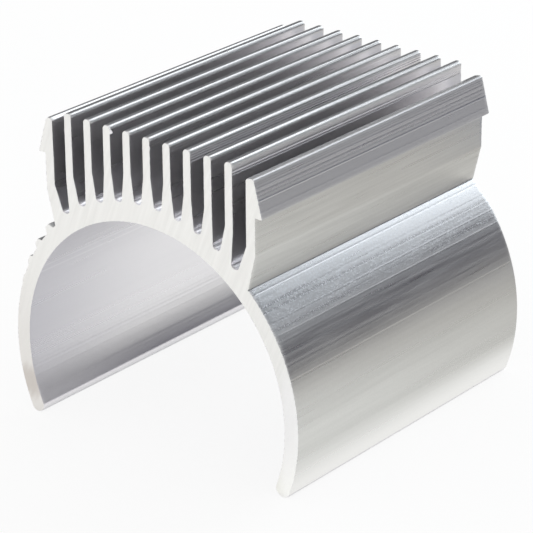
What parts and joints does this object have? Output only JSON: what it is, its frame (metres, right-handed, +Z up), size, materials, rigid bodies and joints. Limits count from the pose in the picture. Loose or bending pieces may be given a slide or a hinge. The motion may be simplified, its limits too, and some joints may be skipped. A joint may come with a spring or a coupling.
{
  "type": "motor heat sink",
  "caption": "Extruded aluminium heat sink that springs around a can motor, with upright cooling fins and barbed rails for a clip-on fan.",
  "frame": {"origin": "on the axis of the motor bore, at mid-length", "axes": "+Y runs along the motor from the front end to the rear end, +Z points up along the middle fin, +X is to the right seen from the front end"},
  "size_m": [0.0396, 0.0386, 0.0366],
  "materials": {
    "bare_aluminium": "bare, extruded with lengthwise die lines, sawn matte at both ends"
  },
  "bodies": {
    "root": {"heat_sink": "bare_aluminium"}
  },
  "joints": []
}
